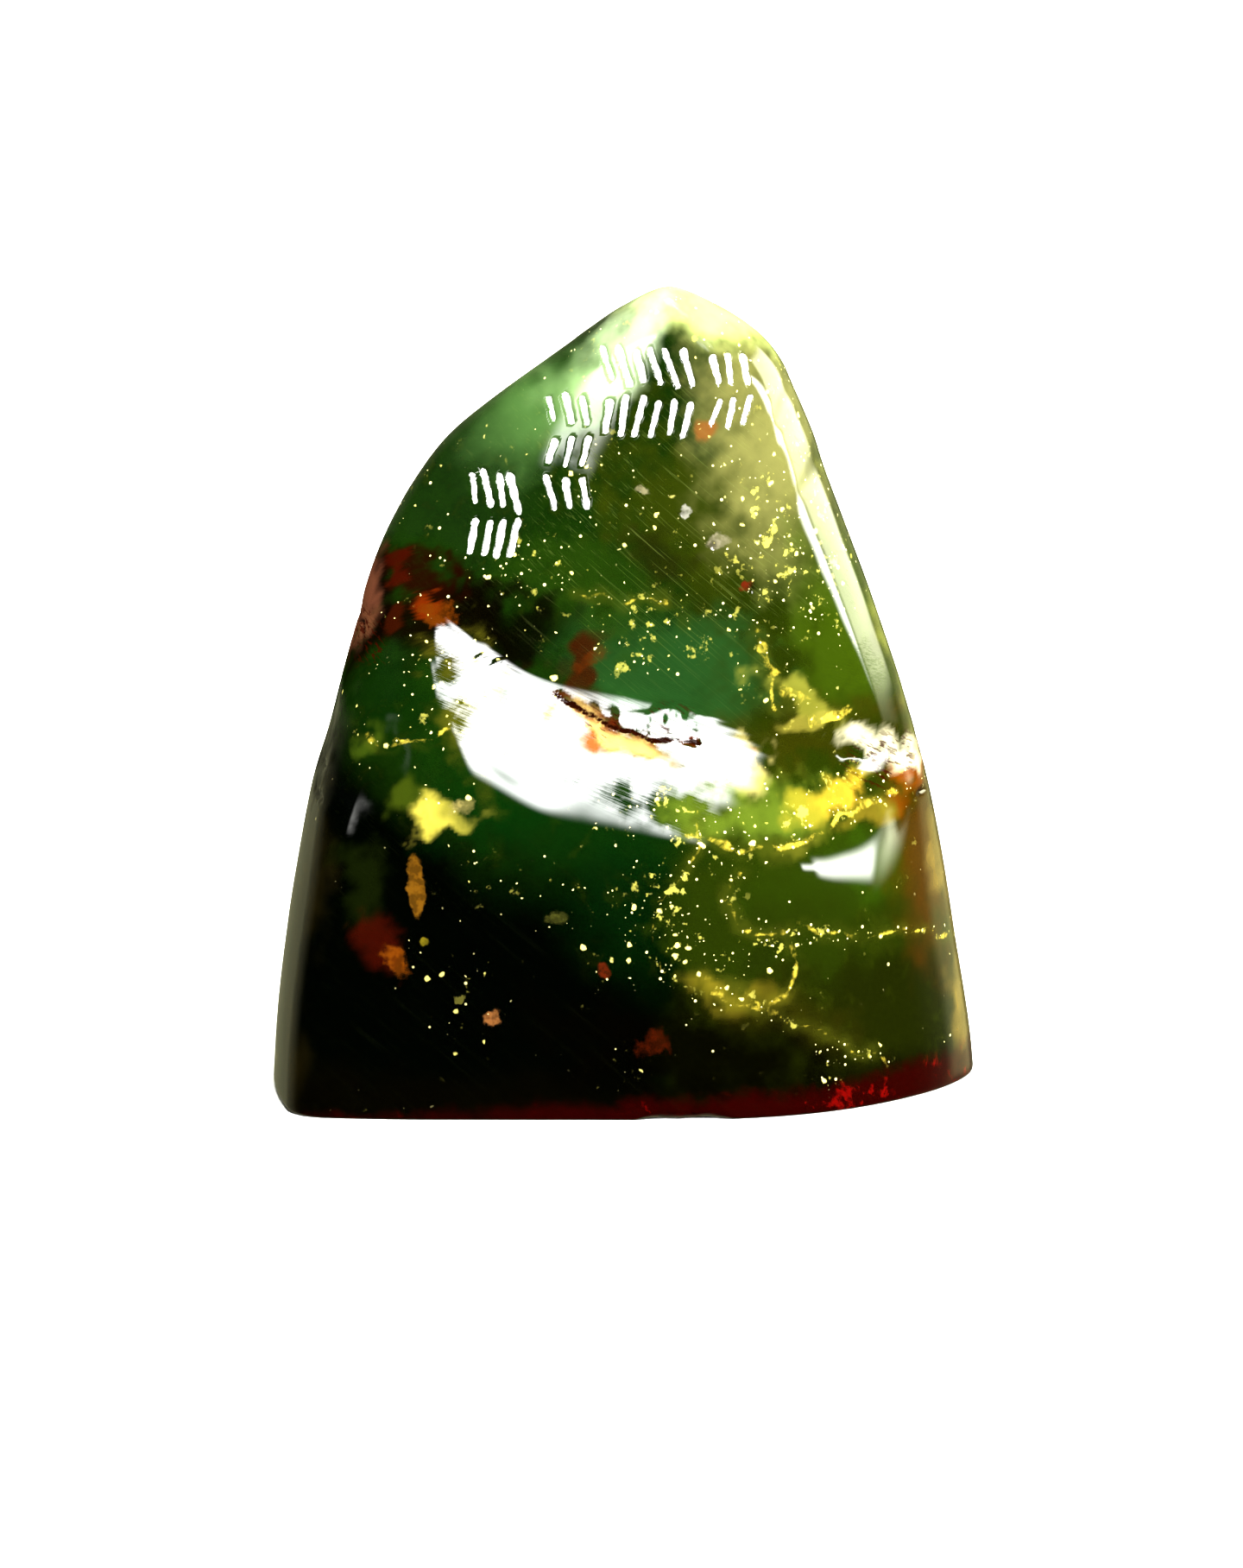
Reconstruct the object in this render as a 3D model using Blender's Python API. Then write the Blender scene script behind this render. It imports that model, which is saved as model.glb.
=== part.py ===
"""A seal stone: one water-worn green pebble, ground flat below for its seal face and polished all over.

Metres, +Z up. The inscribed front looks towards -Y, and +X is to its right.
The origin is the middle of the underside, on which the stone stands.
"""

import math

import bpy
import numpy as np

# Overall size
WIDTH = 0.040
THICKNESS = 0.022
HEIGHT = 0.046
HALF_WIDTH = WIDTH / 2
HALF_THICKNESS = THICKNESS / 2

# The outline seen from the front, from under the left foot over the peak to under the right foot,
# as (share of the half width, share of the height)
OUTLINE = [
    (-1.0, -0.2),
    (-1.0, 0.02),
    (-0.962, 0.19),
    (-0.894, 0.362),
    (-0.837, 0.45),
    (-0.785, 0.54),
    (-0.732, 0.63),
    (-0.69, 0.713),
    (-0.66, 0.757),
    (-0.60, 0.803),
    (-0.50, 0.84),
    (-0.29, 0.903),
    (-0.133, 0.95),
    (-0.011, 0.984),
    (0.131, 1.0066),
    (0.268, 0.985),
    (0.392, 0.952),
    (0.464, 0.918),
    (0.507, 0.877),
    (0.558, 0.818),
    (0.60, 0.757),
    (0.705, 0.625),
    (0.798, 0.494),
    (0.879, 0.362),
    (0.95, 0.187),
    (1.006, 0.0),
    (1.006, -0.2),
]
OUTLINE_HEART = (0.05, 0.43)  # a point well inside it, in the same shares

# The front: a lower body, a ledge that climbs back from it, and the inscribed face above
LOWER_LEAN = 0.05  # how far the lower body leans back, per height
UPPER_DEPTH_SHARE = 0.52  # of the half thickness, where the upper face starts
UPPER_START_SHARE = 0.48  # of the height
UPPER_LEAN = 0.06
LEDGE_SLOPE = 0.70  # depth lost for each height climbed on the ledge
LEDGE_FADE_SHARES = (-0.42, -0.72)  # of the half width, between which the ledge grows gentler to the left
LEDGE_FADE = 0.62
LEDGE_ROLL = [  # the line where the lower body rolls over into the ledge
    (-1.2, 0.52),
    (-0.75, 0.50),
    (-0.50, 0.465),
    (-0.25, 0.40),
    (0.0, 0.375),
    (0.20, 0.355),
    (0.45, 0.322),
    (0.70, 0.29),
    (1.2, 0.27),
]
ROLL_SOFTNESS = 0.0024
CREASE_SOFTNESS = 0.0008
# The share of the depth that is lost at an edge, low down and high up, and how late it goes
RIGHT_FALL_LOW, RIGHT_FALL_HIGH, RIGHT_ROUNDING = 1.0, 0.85, 3.0
LEFT_FALL_LOW, LEFT_FALL_HIGH, LEFT_ROUNDING = 0.10, 0.45, 4.0
FALL_RISE_SHARES = (0.2, 0.6)  # of the height, between which the low value gives way to the high one
NARROWEST_SHARE = 0.2  # of the half width, taken as the least distance to an edge near the peak
EDGE_SHARE_MOST = 1.1

# The back, plain and gently crowned
BACK_LEAN = 0.155
BACK_FALL, BACK_ROUNDING = 0.55, 3.5

# How the faces meet
SIDE_FLARE_SHARE = 0.075  # of the half width, lost from the sides by the front and the back
CREST_FORWARD = 0.0018  # the peak stands this far before the middle plane
CREST_RADIUS = 0.0050
CREST_START_SHARE = 0.8  # of the height
EDGE_SOFTNESS_LOW = 0.0018
EDGE_SOFTNESS_TOP = 0.0036
SOFTEN_UP_SHARES = (0.45, 0.9)  # of the height, between which the edges grow softer
SOFTEN_RIGHT_SHARES = (0.0, 0.6)  # of the half width, likewise
SOFTEN_UP_PART = 0.30  # what height alone adds, where 1 is the whole softness of the top
SOFTEN_RIGHT_PART = 0.5  # what the right side adds low down; it adds all of it high up
SLOPE_FACET_NORMAL = (-0.56, -0.75, 0.36)  # the polished flat that falls to the left shoulder
SLOPE_FACET_AT = (-0.375, 0.13, 0.900)  # a point on it, in shares of the half sizes and the height
SLOPE_FACET_SOFTNESS = 0.0050
SLOPE_FACET_LOW_END = 0.80  # share of the height below which it curls away into the side
SLOPE_FACET_CURL = 0.012
FOOT_CHAMFER = 0.0003

# The mesh
COLUMNS = 112
WALL_ROWS = 24
DOME_ROWS = 17
DOME_START_SHARE = 0.62
STEPS_A_SEGMENT = 24
PLAN_STEPS_A_COLUMN = 60
BLOCK_POWER = 0.5  # squares the corners of the plan's ellipse
SHARP_ANGLE = math.radians(40)
HALVINGS = 44

STONE_GREEN = (0.030, 0.105, 0.028, 1.0)
STONE_ROUGHNESS = 0.16


def smooth_curve(points):
    """A dense line through the points, without corners, by the Catmull-Rom rule."""
    held = np.array([points[0], *points, points[-1]], float)
    t = np.linspace(0, 1, STEPS_A_SEGMENT, endpoint=False)[:, None]
    pieces = []
    for before, a, b, after in zip(held, held[1:], held[2:], held[3:]):
        line = 2 * a + (b - before) * t
        bend = (2 * before - 5 * a + 4 * b - after) * t**2
        twist = (3 * a - before - 3 * b + after) * t**3
        pieces.append((line + bend + twist) / 2)
    return np.vstack([*pieces, held[-1:]])


def smooth_max(a, b, softness):
    overlap = np.maximum(softness - np.abs(a - b), 0)
    return np.maximum(a, b) + overlap**2 / (4 * softness)


def smooth_min(a, b, softness):
    return -smooth_max(-a, -b, softness)


def smooth_step(low, high, value):
    t = np.clip((value - low) / (high - low), 0, 1)
    return t * t * (3 - 2 * t)


OUTLINE_LINE = smooth_curve(OUTLINE) * (HALF_WIDTH, HEIGHT)
HEART = np.array(OUTLINE_HEART) * (HALF_WIDTH, HEIGHT)
PEAK_INDEX = int(OUTLINE_LINE[:, 1].argmax())
LEDGE_LINE = smooth_curve(LEDGE_ROLL) * (HALF_WIDTH, HEIGHT)


def outline_table():
    """The outline's reach from its heart by angle, and how much of a step outwards is square to it."""
    from_heart = OUTLINE_LINE - HEART
    # turned by a quarter so that the cut in the angle points down, where the outline is open
    angle = np.arctan2(from_heart[:, 0], from_heart[:, 1])
    reach = np.hypot(*from_heart.T)
    turn = np.gradient(reach, angle) / reach
    return angle, reach, 1 / np.sqrt(1 + turn**2)


OUTLINE_ANGLE, OUTLINE_REACH, OUTLINE_SQUARE = outline_table()


def beyond_outline(x, z):
    """How far a point lies outside the front outline."""
    across, up = x - HEART[0], z - HEART[1]
    angle = np.arctan2(across, up)
    reach = np.interp(angle, OUTLINE_ANGLE, OUTLINE_REACH)
    return (np.hypot(across, up) - reach) * np.interp(angle, OUTLINE_ANGLE, OUTLINE_SQUARE)


def edge_share(x, z):
    """0 on the middle line, 1 at the outline on either side."""
    left = OUTLINE_LINE[: PEAK_INDEX + 1]
    right = OUTLINE_LINE[PEAK_INDEX:][::-1]
    to_left = np.interp(z, left[:, 1], -left[:, 0])
    to_right = np.interp(z, right[:, 1], right[:, 0])
    least = NARROWEST_SHARE * HALF_WIDTH
    share = np.where(x < 0, -x / np.maximum(to_left, least), x / np.maximum(to_right, least))
    return np.minimum(share, EDGE_SHARE_MOST)


def front_depth(x, z):
    """How far the front stands before the middle plane."""
    lower = HALF_THICKNESS - LOWER_LEAN * z
    upper = UPPER_DEPTH_SHARE * HALF_THICKNESS - UPPER_LEAN * (z - UPPER_START_SHARE * HEIGHT)
    gentler = LEDGE_FADE * smooth_step(LEDGE_FADE_SHARES[0] * HALF_WIDTH, LEDGE_FADE_SHARES[1] * HALF_WIDTH, x)
    ledge = lower - LEDGE_SLOPE * (1 - gentler) * (z - np.interp(x, *LEDGE_LINE.T))
    face = smooth_max(upper, smooth_min(lower, ledge, ROLL_SOFTNESS), CREASE_SOFTNESS)
    low_end, high_end = FALL_RISE_SHARES
    high = smooth_step(low_end * HEIGHT, high_end * HEIGHT, z)
    left_fall = LEFT_FALL_LOW + (LEFT_FALL_HIGH - LEFT_FALL_LOW) * high
    right_fall = RIGHT_FALL_LOW + (RIGHT_FALL_HIGH - RIGHT_FALL_LOW) * high
    fall = np.where(x < 0, left_fall, right_fall)
    rounding = np.where(x < 0, LEFT_ROUNDING, RIGHT_ROUNDING)
    return face * (1 - fall * edge_share(x, z) ** rounding)


def back_depth(x, z):
    crown = 1 - BACK_FALL * edge_share(x, z) ** BACK_ROUNDING
    return (HALF_THICKNESS - BACK_LEAN * z) * crown


def beyond_stone(x, y, z):
    """How far a point lies outside the stone, below zero inside it. The flat underside is cut later."""
    flare = SIDE_FLARE_SHARE * HALF_WIDTH * (y / HALF_THICKNESS) ** 2
    near_peak = smooth_step(CREST_START_SHARE * HEIGHT, HEIGHT, z)
    crest = near_peak * (y + CREST_FORWARD) ** 2 / (2 * CREST_RADIUS)
    rim = beyond_outline(x, z) + flare + crest
    up = smooth_step(SOFTEN_UP_SHARES[0] * HEIGHT, SOFTEN_UP_SHARES[1] * HEIGHT, z)
    right = smooth_step(SOFTEN_RIGHT_SHARES[0] * HALF_WIDTH, SOFTEN_RIGHT_SHARES[1] * HALF_WIDTH, x)
    softer = np.maximum(SOFTEN_UP_PART * up, right * (SOFTEN_RIGHT_PART + (1 - SOFTEN_RIGHT_PART) * up))
    softness = EDGE_SOFTNESS_LOW + (EDGE_SOFTNESS_TOP - EDGE_SOFTNESS_LOW) * softer
    normal = np.array(SLOPE_FACET_NORMAL) / np.linalg.norm(SLOPE_FACET_NORMAL)
    at = np.array(SLOPE_FACET_AT) * (HALF_WIDTH, HALF_THICKNESS, HEIGHT)
    facet = normal[0] * (x - at[0]) + normal[1] * (y - at[1]) + normal[2] * (z - at[2])
    facet -= np.maximum(SLOPE_FACET_LOW_END * HEIGHT - z, 0) ** 2 / (2 * SLOPE_FACET_CURL)
    front = smooth_max(-y - front_depth(x, z), facet, SLOPE_FACET_SOFTNESS)
    out = smooth_max(rim, front, softness)
    return smooth_max(out, y - back_depth(x, z), EDGE_SOFTNESS_TOP)


def cast_to_skin(starts, directions, inset=0.0):
    """Where lines from inside the stone reach its skin, or stop short of it by the inset."""
    near = np.zeros(starts.shape[:-1])
    far = np.full_like(near, WIDTH + HEIGHT)
    for _ in range(HALVINGS):
        middle = (near + far) / 2
        points = starts + middle[..., None] * directions
        inside = beyond_stone(points[..., 0], points[..., 1], points[..., 2]) < -inset
        near = np.where(inside, middle, near)
        far = np.where(inside, far, middle)
    return starts + near[..., None] * directions


def angles_around(count):
    """Plan angles of points spaced evenly round a rounded block of the stone's width and thickness."""
    t = np.linspace(0, 2 * math.pi, PLAN_STEPS_A_COLUMN * count, endpoint=False)
    x = HALF_WIDTH * np.sign(np.cos(t)) * np.abs(np.cos(t)) ** BLOCK_POWER
    y = HALF_THICKNESS * np.sign(np.sin(t)) * np.abs(np.sin(t)) ** BLOCK_POWER
    steps = np.hypot(np.diff(x, append=x[0]), np.diff(y, append=y[0]))
    walked = np.concatenate([[0], np.cumsum(steps)])
    wanted = np.linspace(0, walked[-1], count, endpoint=False)
    at = np.interp(wanted, walked, np.append(t, 2 * math.pi))
    x = HALF_WIDTH * np.sign(np.cos(at)) * np.abs(np.cos(at)) ** BLOCK_POWER
    y = HALF_THICKNESS * np.sign(np.sin(at)) * np.abs(np.sin(at)) ** BLOCK_POWER
    return np.arctan2(y, x)


def skin_rows():
    """Rings of points from the foot to just under the peak, then the peak itself."""
    angle = angles_around(COLUMNS)
    plan = np.stack([np.cos(angle), np.sin(angle), np.zeros(COLUMNS)], -1)
    dome_start = DOME_START_SHARE * HEIGHT
    heights = np.concatenate([[0.0], np.linspace(FOOT_CHAMFER, dome_start, WALL_ROWS)])
    tilts = np.linspace(0, math.pi / 2, DOME_ROWS + 1)[1:]
    rows = []
    for number, height in enumerate(heights):
        start = np.broadcast_to((HEART[0], 0.0, height), plan.shape)
        rows.append(cast_to_skin(start, plan, FOOT_CHAMFER if number == 0 else 0.0))
    for tilt in tilts:
        start = np.broadcast_to((HEART[0], 0.0, dome_start), plan.shape)
        rows.append(cast_to_skin(start, plan * math.cos(tilt) + (0, 0, math.sin(tilt))))
    return rows[:-1], rows[-1][0]


def skin_mesh(name):
    rows, peak = skin_rows()
    points = np.vstack([*rows, peak[None]])
    last = len(points) - 1
    faces = []
    for row in range(len(rows) - 1):
        for column in range(COLUMNS):
            beside = (column + 1) % COLUMNS
            low, high = row * COLUMNS, (row + 1) * COLUMNS
            faces.append((low + column, low + beside, high + beside, high + column))
    top = (len(rows) - 1) * COLUMNS
    for column in range(COLUMNS):
        faces.append((top + column, top + (column + 1) % COLUMNS, last))
    faces.append(tuple(reversed(range(COLUMNS))))
    mesh = bpy.data.meshes.new(name)
    mesh.from_pydata(points.tolist(), [], faces)
    mesh.shade_smooth()
    mesh.set_sharp_from_angle(angle=SHARP_ANGLE)
    return mesh


def polished_stone():
    material = bpy.data.materials.new("polished_green_stone")
    material.use_nodes = True
    shader = material.node_tree.nodes["Principled BSDF"]
    shader.inputs["Base Color"].default_value = STONE_GREEN
    shader.inputs["Roughness"].default_value = STONE_ROUGHNESS
    return material


def seal_stone():
    mesh = skin_mesh("seal_stone")
    mesh.materials.append(polished_stone())
    stone = bpy.data.objects.new("seal_stone", mesh)
    bpy.context.scene.collection.objects.link(stone)
    return stone


for old in list(bpy.data.objects):
    bpy.data.objects.remove(old)
seal_stone()
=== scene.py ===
"""The looks of a polished green seal stone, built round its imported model. Metres, +Z up, front towards -Y."""

import math

import bpy
import numpy as np
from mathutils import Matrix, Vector


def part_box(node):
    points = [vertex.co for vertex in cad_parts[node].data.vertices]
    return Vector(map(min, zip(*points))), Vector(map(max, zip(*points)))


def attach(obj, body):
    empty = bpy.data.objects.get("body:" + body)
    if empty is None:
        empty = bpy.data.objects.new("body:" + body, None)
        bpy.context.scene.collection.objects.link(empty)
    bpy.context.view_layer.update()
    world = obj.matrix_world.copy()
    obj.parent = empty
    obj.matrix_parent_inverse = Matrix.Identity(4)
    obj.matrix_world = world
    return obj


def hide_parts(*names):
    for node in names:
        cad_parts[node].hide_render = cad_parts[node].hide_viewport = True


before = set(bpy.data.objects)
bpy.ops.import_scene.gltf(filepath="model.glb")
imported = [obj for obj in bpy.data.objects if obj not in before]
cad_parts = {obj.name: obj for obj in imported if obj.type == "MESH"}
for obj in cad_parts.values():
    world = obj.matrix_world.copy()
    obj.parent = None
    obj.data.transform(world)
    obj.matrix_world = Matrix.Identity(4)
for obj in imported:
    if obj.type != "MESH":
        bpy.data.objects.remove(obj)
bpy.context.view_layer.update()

# The camera stands well back with a long lens, a little above the stone, as for a small thing on a table.
CAMERA_ELEVATION = math.radians(12)
CAMERA_DISTANCE = 1.0
CAMERA_AIM = Vector((-0.00015, 0.0, 0.01714))
CAMERA_LENS = 403.0  # millimetres
CAMERA_NEAREST = 0.02


def studio_camera():
    camera = bpy.data.cameras.new("camera")
    camera.lens = CAMERA_LENS
    camera.clip_start = CAMERA_NEAREST
    thing = bpy.data.objects.new("camera", camera)
    bpy.context.scene.collection.objects.link(thing)
    back = Vector((0.0, -math.cos(CAMERA_ELEVATION), math.sin(CAMERA_ELEVATION)))
    thing.location = CAMERA_AIM + back * CAMERA_DISTANCE
    thing.rotation_euler = (-back).to_track_quat("-Z", "Y").to_euler()
    bpy.context.scene.camera = thing


studio_camera()

# The stone is one pebble of translucent green soft stone. Its underside is ground flat for the seal face,
# its front is worn back above a slanting ledge, and all of it is rubbed to a wet polish. The skin below
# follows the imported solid's own rules on a finer mesh, and the cuts, cracks and pits are sunk into it.
MM = 0.001
WIDTH = 0.040
THICKNESS = 0.022
HEIGHT = 0.046
HALF_WIDTH = WIDTH / 2
HALF_THICKNESS = THICKNESS / 2
OUTLINE = [  # from under the left foot over the peak to the right foot: shares of half width and height
    (-1.0, -0.2),
    (-1.0, 0.02),
    (-0.962, 0.19),
    (-0.894, 0.362),
    (-0.837, 0.45),
    (-0.785, 0.54),
    (-0.732, 0.63),
    (-0.69, 0.713),
    (-0.66, 0.757),
    (-0.60, 0.803),
    (-0.50, 0.84),
    (-0.29, 0.903),
    (-0.133, 0.95),
    (-0.011, 0.984),
    (0.131, 1.0066),
    (0.268, 0.985),
    (0.392, 0.952),
    (0.464, 0.918),
    (0.507, 0.877),
    (0.558, 0.818),
    (0.60, 0.757),
    (0.705, 0.625),
    (0.798, 0.494),
    (0.879, 0.362),
    (0.95, 0.187),
    (1.006, 0.0),
    (1.006, -0.2),
]
OUTLINE_HEART = (0.05, 0.43)
LOWER_LEAN = 0.05  # how far the lower body leans back, per height
UPPER_DEPTH_SHARE = 0.52  # of the half thickness, where the upper face starts
UPPER_START_SHARE = 0.48  # of the height
UPPER_LEAN = 0.06
LEDGE_SLOPE = 0.70  # depth lost for each height climbed on the ledge
LEDGE_FADE_SHARES = (-0.42, -0.72)  # of the half width, between which the ledge grows gentler to the left
LEDGE_FADE = 0.62
LEDGE_ROLL = [  # the line where the lower body rolls over into the ledge
    (-1.2, 0.52),
    (-0.75, 0.50),
    (-0.50, 0.465),
    (-0.25, 0.40),
    (0.0, 0.375),
    (0.20, 0.355),
    (0.45, 0.322),
    (0.70, 0.29),
    (1.2, 0.27),
]
ROLL_SOFTNESS = 0.0024
CREASE_SOFTNESS = 0.0008
# The share of the depth that is lost at an edge, low down and high up, and how late it goes
RIGHT_FALL_LOW, RIGHT_FALL_HIGH, RIGHT_ROUNDING = 1.0, 0.85, 3.0
LEFT_FALL_LOW, LEFT_FALL_HIGH, LEFT_ROUNDING = 0.10, 0.45, 4.0
FALL_RISE_SHARES = (0.2, 0.6)  # of the height, between which the low value gives way to the high one
NARROWEST_SHARE = 0.2  # of the half width, taken as the least distance to an edge near the peak
EDGE_SHARE_MOST = 1.1

# The back, plain and gently crowned
BACK_LEAN = 0.155
BACK_FALL, BACK_ROUNDING = 0.55, 3.5

# How the faces meet
SIDE_FLARE_SHARE = 0.075  # of the half width, lost from the sides by the front and the back
CREST_FORWARD = 0.0018  # the peak stands this far before the middle plane
CREST_RADIUS = 0.0050
CREST_START_SHARE = 0.8  # of the height
EDGE_SOFTNESS_LOW = 0.0018
EDGE_SOFTNESS_TOP = 0.0036
SOFTEN_UP_SHARES = (0.45, 0.9)  # of the height, between which the edges grow softer
SOFTEN_RIGHT_SHARES = (0.0, 0.6)  # of the half width, likewise
SOFTEN_UP_PART = 0.30  # what height alone adds, where 1 is the whole softness of the top
SOFTEN_RIGHT_PART = 0.5  # what the right side adds low down; it adds all of it high up
SLOPE_FACET_NORMAL = (-0.56, -0.75, 0.36)  # the polished flat that falls to the left shoulder
SLOPE_FACET_AT = (-0.375, 0.13, 0.900)  # a point on it, in shares of the half sizes and the height
SLOPE_FACET_SOFTNESS = 0.0050
SLOPE_FACET_LOW_END = 0.80  # share of the height below which it curls away into the side
SLOPE_FACET_CURL = 0.012
FOOT_ROUND = 0.0003
STEPS_A_SEGMENT = 24


def smooth_curve(points):
    """A dense line through the points, without corners, by the Catmull-Rom rule."""
    held = np.array([points[0], *points, points[-1]], float)
    t = np.linspace(0, 1, STEPS_A_SEGMENT, endpoint=False)[:, None]
    pieces = []
    for before, a, b, after in zip(held, held[1:], held[2:], held[3:]):
        line = 2 * a + (b - before) * t
        bend = (2 * before - 5 * a + 4 * b - after) * t**2
        twist = (3 * a - before - 3 * b + after) * t**3
        pieces.append((line + bend + twist) / 2)
    return np.vstack([*pieces, held[-1:]])


def smooth_max(a, b, softness):
    overlap = np.maximum(softness - np.abs(a - b), 0)
    return np.maximum(a, b) + overlap**2 / (4 * softness)


def smooth_min(a, b, softness):
    return -smooth_max(-a, -b, softness)


def smooth_step(low, high, value):
    t = np.clip((value - low) / (high - low), 0, 1)
    return t * t * (3 - 2 * t)


OUTLINE_LINE = smooth_curve(OUTLINE) * (HALF_WIDTH, HEIGHT)
HEART = np.array(OUTLINE_HEART) * (HALF_WIDTH, HEIGHT)
PEAK_INDEX = int(OUTLINE_LINE[:, 1].argmax())
LEFT_LINE = OUTLINE_LINE[: PEAK_INDEX + 1]
RIGHT_LINE = OUTLINE_LINE[PEAK_INDEX:][::-1]
LEDGE_LINE = smooth_curve(LEDGE_ROLL) * (HALF_WIDTH, HEIGHT)


def outline_table():
    """The outline's reach from its heart by angle, and how much of a step outwards is square to it."""
    from_heart = OUTLINE_LINE - HEART
    angle = np.arctan2(from_heart[:, 0], from_heart[:, 1])
    reach = np.hypot(*from_heart.T)
    turn = np.gradient(reach, angle) / reach
    return angle, reach, 1 / np.sqrt(1 + turn**2)


OUTLINE_ANGLE, OUTLINE_REACH, OUTLINE_SQUARE = outline_table()


def beyond_outline(x, z):
    across, up = x - HEART[0], z - HEART[1]
    angle = np.arctan2(across, up)
    reach = np.interp(angle, OUTLINE_ANGLE, OUTLINE_REACH)
    return (np.hypot(across, up) - reach) * np.interp(angle, OUTLINE_ANGLE, OUTLINE_SQUARE)


def sides_at(z):
    """How far the outline reaches to the left and to the right at a height."""
    return np.interp(z, LEFT_LINE[:, 1], -LEFT_LINE[:, 0]), np.interp(z, RIGHT_LINE[:, 1], RIGHT_LINE[:, 0])


def edge_share(x, z):
    """0 on the middle line, 1 at the outline on either side."""
    to_left, to_right = sides_at(z)
    least = NARROWEST_SHARE * HALF_WIDTH
    share = np.where(x < 0, -x / np.maximum(to_left, least), x / np.maximum(to_right, least))
    return np.minimum(share, EDGE_SHARE_MOST)


def front_depth(x, z):
    """How far the front stands before the middle plane."""
    lower = HALF_THICKNESS - LOWER_LEAN * z
    upper = UPPER_DEPTH_SHARE * HALF_THICKNESS - UPPER_LEAN * (z - UPPER_START_SHARE * HEIGHT)
    fade_start, fade_end = (share * HALF_WIDTH for share in LEDGE_FADE_SHARES)
    gentler = LEDGE_FADE * smooth_step(fade_start, fade_end, x)
    ledge = lower - LEDGE_SLOPE * (1 - gentler) * (z - np.interp(x, *LEDGE_LINE.T))
    face = smooth_max(upper, smooth_min(lower, ledge, ROLL_SOFTNESS), CREASE_SOFTNESS)
    low_end, high_end = FALL_RISE_SHARES
    high = smooth_step(low_end * HEIGHT, high_end * HEIGHT, z)
    left_fall = LEFT_FALL_LOW + (LEFT_FALL_HIGH - LEFT_FALL_LOW) * high
    right_fall = RIGHT_FALL_LOW + (RIGHT_FALL_HIGH - RIGHT_FALL_LOW) * high
    fall = np.where(x < 0, left_fall, right_fall)
    rounding = np.where(x < 0, LEFT_ROUNDING, RIGHT_ROUNDING)
    return face * (1 - fall * edge_share(x, z) ** rounding)


def back_depth(x, z):
    crown = 1 - BACK_FALL * edge_share(x, z) ** BACK_ROUNDING
    return (HALF_THICKNESS - BACK_LEAN * z) * crown


def beyond_stone(x, y, z):
    """How far a point lies outside the stone, below zero inside it. The flat underside is cut later."""
    flare = SIDE_FLARE_SHARE * HALF_WIDTH * (y / HALF_THICKNESS) ** 2
    near_peak = smooth_step(CREST_START_SHARE * HEIGHT, HEIGHT, z)
    crest = near_peak * (y + CREST_FORWARD) ** 2 / (2 * CREST_RADIUS)
    rim = beyond_outline(x, z) + flare + crest
    up = smooth_step(SOFTEN_UP_SHARES[0] * HEIGHT, SOFTEN_UP_SHARES[1] * HEIGHT, z)
    right = smooth_step(SOFTEN_RIGHT_SHARES[0] * HALF_WIDTH, SOFTEN_RIGHT_SHARES[1] * HALF_WIDTH, x)
    softer = np.maximum(SOFTEN_UP_PART * up, right * (SOFTEN_RIGHT_PART + (1 - SOFTEN_RIGHT_PART) * up))
    softness = EDGE_SOFTNESS_LOW + (EDGE_SOFTNESS_TOP - EDGE_SOFTNESS_LOW) * softer
    normal = np.array(SLOPE_FACET_NORMAL) / np.linalg.norm(SLOPE_FACET_NORMAL)
    at = np.array(SLOPE_FACET_AT) * (HALF_WIDTH, HALF_THICKNESS, HEIGHT)
    facet = normal[0] * (x - at[0]) + normal[1] * (y - at[1]) + normal[2] * (z - at[2])
    facet -= np.maximum(SLOPE_FACET_LOW_END * HEIGHT - z, 0) ** 2 / (2 * SLOPE_FACET_CURL)
    front = smooth_max(-y - front_depth(x, z), facet, SLOPE_FACET_SOFTNESS)
    out = smooth_max(rim, front, softness)
    return smooth_max(out, y - back_depth(x, z), EDGE_SOFTNESS_TOP)


# A ray from inside the stone meets the skin by halving, 40 times, which is far finer than the mesh.
HALVINGS = 40
FARTHEST = 0.030


def cast_to_skin(starts, directions, inset=0.0, farthest=FARTHEST):
    near = np.zeros(starts.shape[:-1])
    far = np.full_like(near, farthest)
    for _ in range(HALVINGS):
        middle = (near + far) / 2
        points = starts + middle[..., None] * directions
        inside = beyond_stone(points[..., 0], points[..., 1], points[..., 2]) < -inset
        near = np.where(inside, middle, near)
        far = np.where(inside, far, middle)
    return starts + near[..., None] * directions


COLUMNS = 316
RING_STEPS = 80 * COLUMNS  # fine steps in which the ring is walked
FRONT_WEIGHT = 5.0  # how much closer the columns stand on the front than on the back
FRONT_FACING = (0.35, 0.95)  # share of the way to the front between which that weight grows
BLOCK_POWER = 0.5
ROW_STEPS = [  # height and the distance between rows there, in millimetres
    (0.0, 0.30),
    (13.0, 0.30),
    (16.0, 0.16),
    (28.0, 0.16),
    (30.0, 0.125),
    (43.5, 0.125),
    (46.0, 0.10),
]
CLOSING = 2.0  # millimetres under the peak in which the rows draw together
LEAST_STEP = 0.01
FOOT_ROWS = (0.0, 0.08, 0.25, 0.5)  # shares of the foot's rounding
CAP_REACH = 0.00006  # the last ring lies this far under the peak
# Where the peak is sought, in shares of the half width, the half thickness and the height
PEAK_ACROSS = (0.0, 0.25)
PEAK_DEEP = (-0.45, 0.2)
PEAK_ABOVE = 0.9
PEAK_STEPS = 60
DRAWN_TO_PEAK = 0.86  # share of the height above which the middle of the slices nears the peak


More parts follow.
